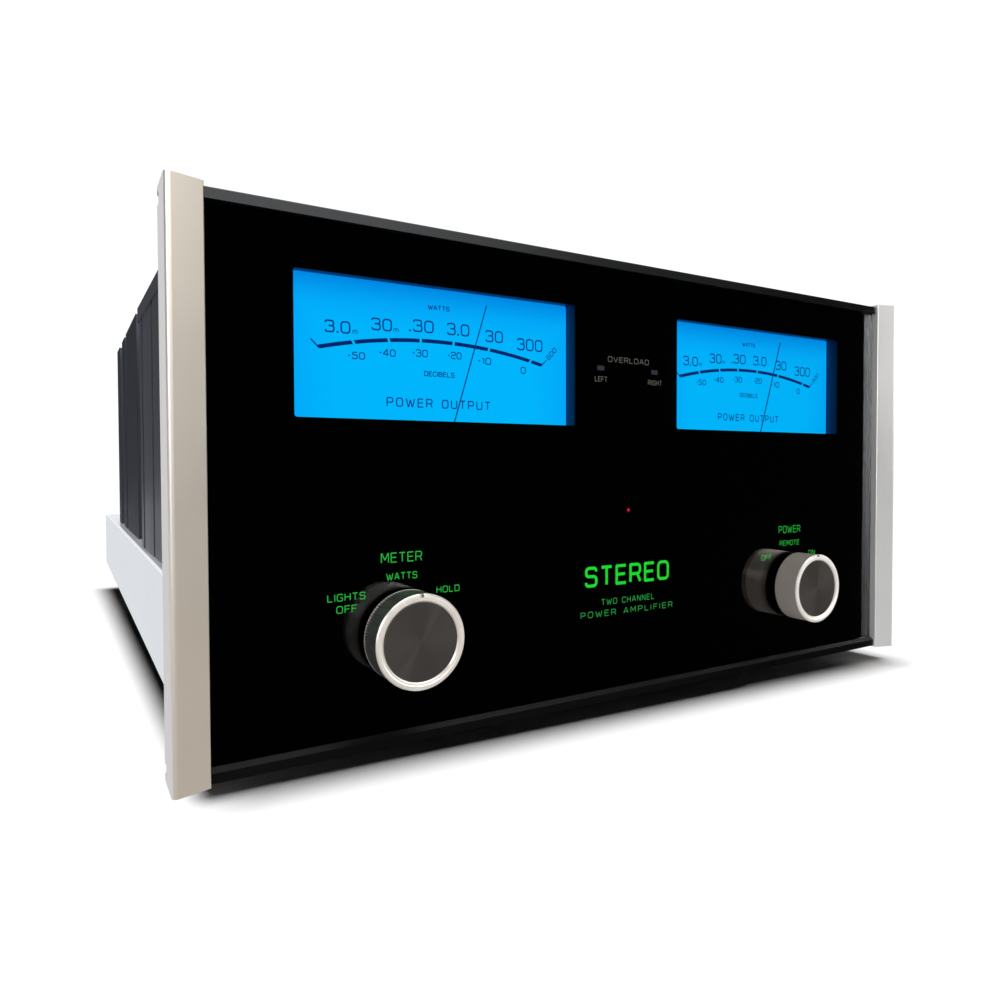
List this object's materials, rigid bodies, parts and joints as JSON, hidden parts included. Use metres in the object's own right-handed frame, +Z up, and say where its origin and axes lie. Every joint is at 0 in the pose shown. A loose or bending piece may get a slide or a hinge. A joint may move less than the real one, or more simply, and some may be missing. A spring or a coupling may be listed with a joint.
{
  "type": "power amplifier",
  "caption": "Two-channel stereo power amplifier with a black glass front, blue lit power meters, turned knobs, side heatsinks and a polished steel chassis.",
  "frame": {"origin": "on the ground under the feet, at the middle of the width and of the overall depth", "axes": "+Z up, +X to the right seen from the front, +Y from the front panel towards the rear"},
  "size_m": [0.4444, 0.5408, 0.2397],
  "materials": {
    "champagne_aluminium": "satin bead-blasted and champagne anodised aluminium",
    "dark_trim": "dark satin anodised extrusion",
    "glass_clear": "polished plate glass",
    "mask_black": "opaque black screen print carrier",
    "subframe_steel": "zinc plated sheet steel",
    "acrylic": "clear acrylic light guide",
    "lamp_lens": "smoked red lamp lens",
    "housing_white": "moulded meter housing",
    "meter_blue": "translucent blue dial lit from behind",
    "needle_black": "matt black needle",
    "movement_steel": "magnet yoke",
    "pcb_green": "glass-epoxy board with soldered parts",
    "knob_metal": "turned and polished aluminium",
    "knob_disc": "dark anodised spun disc",
    "shaft_steel": "ground steel shaft",
    "switch_black": "moulded switch body",
    "polished_steel": "polished stainless steel sheet",
    "black_steel": "black powder coat on sheet steel",
    "foot_rubber": "moulded rubber foot",
    "heatsink_black": "black anodised aluminium extrusion",
    "lamination": "varnished steel laminations and enamelled copper winding",
    "capacitor_sleeve": "sleeved aluminium can",
    "post_base": "gold plated brass on a moulded insulator",
    "post_nut": "gold plated brass nut",
    "connector_black": "moulded connector body",
    "socket_nickel": "nickel plated shell",
    "fastener": "blackened steel screw"
  },
  "bodies": {
    "chassis": {"end_cap_left": "champagne_aluminium", "end_cap_right": "champagne_aluminium", "top_trim": "dark_trim", "bottom_trim": "dark_trim", "front_glass": "glass_clear", "glass_mask": "mask_black", "front_subframe": "subframe_steel", "legend_light_guide": "acrylic", "indicator_lamps": "lamp_lens", "meter_housing_left": "housing_white", "meter_housing_right": "housing_white", "meter_dial_left": "meter_blue", "meter_dial_right": "meter_blue", "meter_movement_left": "movement_steel", "meter_movement_right": "movement_steel", "meter_lamp_bars": "pcb_green", "meter_switch": "switch_black", "power_switch": "switch_black", "chassis_tray": "polished_steel", "bottom_cover": "black_steel", "foot_front_left": "foot_rubber", "foot_front_right": "foot_rubber", "foot_rear_left": "foot_rubber", "foot_rear_right": "foot_rubber", "deck_plate": "polished_steel", "rear_panel": "black_steel", "binding_post_bases": "post_base", "mains_inlet": "connector_black", "xlr_sockets": "connector_black", "rca_sockets": "socket_nickel", "heatsink_left": "heatsink_black", "heatsink_right": "heatsink_black", "output_module_left": "pcb_green", "output_module_right": "pcb_green", "power_transformer_cover": "black_steel", "output_transformer_cover_left": "black_steel", "output_transformer_cover_right": "black_steel", "power_transformer": "lamination", "output_transformer_left": "lamination", "output_transformer_right": "lamination", "top_cover": "black_steel", "filter_capacitors": "capacitor_sleeve", "power_supply_board": "pcb_green", "input_board": "pcb_green", "screws": "fastener"},
    "meter_knob": {"meter_knob": "knob_metal", "meter_knob_face": "knob_disc", "meter_knob_shaft": "shaft_steel"},
    "power_knob": {"power_knob": "knob_metal", "power_knob_face": "knob_disc", "power_knob_shaft": "shaft_steel"},
    "needle_left": {"needle_left": "needle_black"},
    "needle_right": {"needle_right": "needle_black"},
    "post_nut_left_common": {"binding_post_nut_left_common": "post_nut"},
    "post_nut_left_output": {"binding_post_nut_left_output": "post_nut"},
    "post_nut_right_common": {"binding_post_nut_right_common": "post_nut"},
    "post_nut_right_output": {"binding_post_nut_right_output": "post_nut"},
    "fuse_drawer": {"fuse_drawer": "connector_black"},
    "xlr_latch_left": {"xlr_latch_left": "socket_nickel"},
    "xlr_latch_right": {"xlr_latch_right": "socket_nickel"}
  },
  "joints": [
    {"name": "meter_knob_turn", "type": "hinge", "parent": "chassis", "child": "meter_knob", "pos_m": [-0.128, -0.257, 0.0615], "axis": [0, 1, 0], "range_deg": [-50, 50]},
    {"name": "power_knob_turn", "type": "hinge", "parent": "chassis", "child": "power_knob", "pos_m": [0.128, -0.257, 0.0615], "axis": [0, 1, 0], "range_deg": [-50, 50]},
    {"name": "needle_left_swing", "type": "hinge", "parent": "chassis", "child": "needle_left", "pos_m": [-0.1075, -0.24155, 0.1253], "axis": [0, 1, 0], "range_deg": [-62.4, 28.6]},
    {"name": "needle_right_swing", "type": "hinge", "parent": "chassis", "child": "needle_right", "pos_m": [0.1007, -0.24155, 0.1253], "axis": [0, 1, 0], "range_deg": [-62.4, 28.6]},
    {"name": "post_nut_left_common_turn", "type": "hinge", "parent": "chassis", "child": "post_nut_left_common", "pos_m": [-0.098, 0.255, 0.0665], "axis": [0, 1, 0], "range_deg": [0, 1080]},
    {"name": "post_nut_left_output_turn", "type": "hinge", "parent": "chassis", "child": "post_nut_left_output", "pos_m": [-0.124, 0.255, 0.0665], "axis": [0, 1, 0], "range_deg": [0, 1080]},
    {"name": "post_nut_right_common_turn", "type": "hinge", "parent": "chassis", "child": "post_nut_right_common", "pos_m": [0.098, 0.255, 0.0665], "axis": [0, 1, 0], "range_deg": [0, 1080]},
    {"name": "post_nut_right_output_turn", "type": "hinge", "parent": "chassis", "child": "post_nut_right_output", "pos_m": [0.124, 0.255, 0.0665], "axis": [0, 1, 0], "range_deg": [0, 1080]},
    {"name": "fuse_drawer_slide", "type": "slide", "parent": "chassis", "child": "fuse_drawer", "axis": [0, 1, 0], "range_m": [0, 0.022]},
    {"name": "xlr_latch_left_press", "type": "slide", "parent": "chassis", "child": "xlr_latch_left", "axis": [0, -1, 0], "range_m": [0, 0.0015], "stiffness_N_per_m": 400},
    {"name": "xlr_latch_right_press", "type": "slide", "parent": "chassis", "child": "xlr_latch_right", "axis": [0, -1, 0], "range_m": [0, 0.0015], "stiffness_N_per_m": 400}
  ]
}
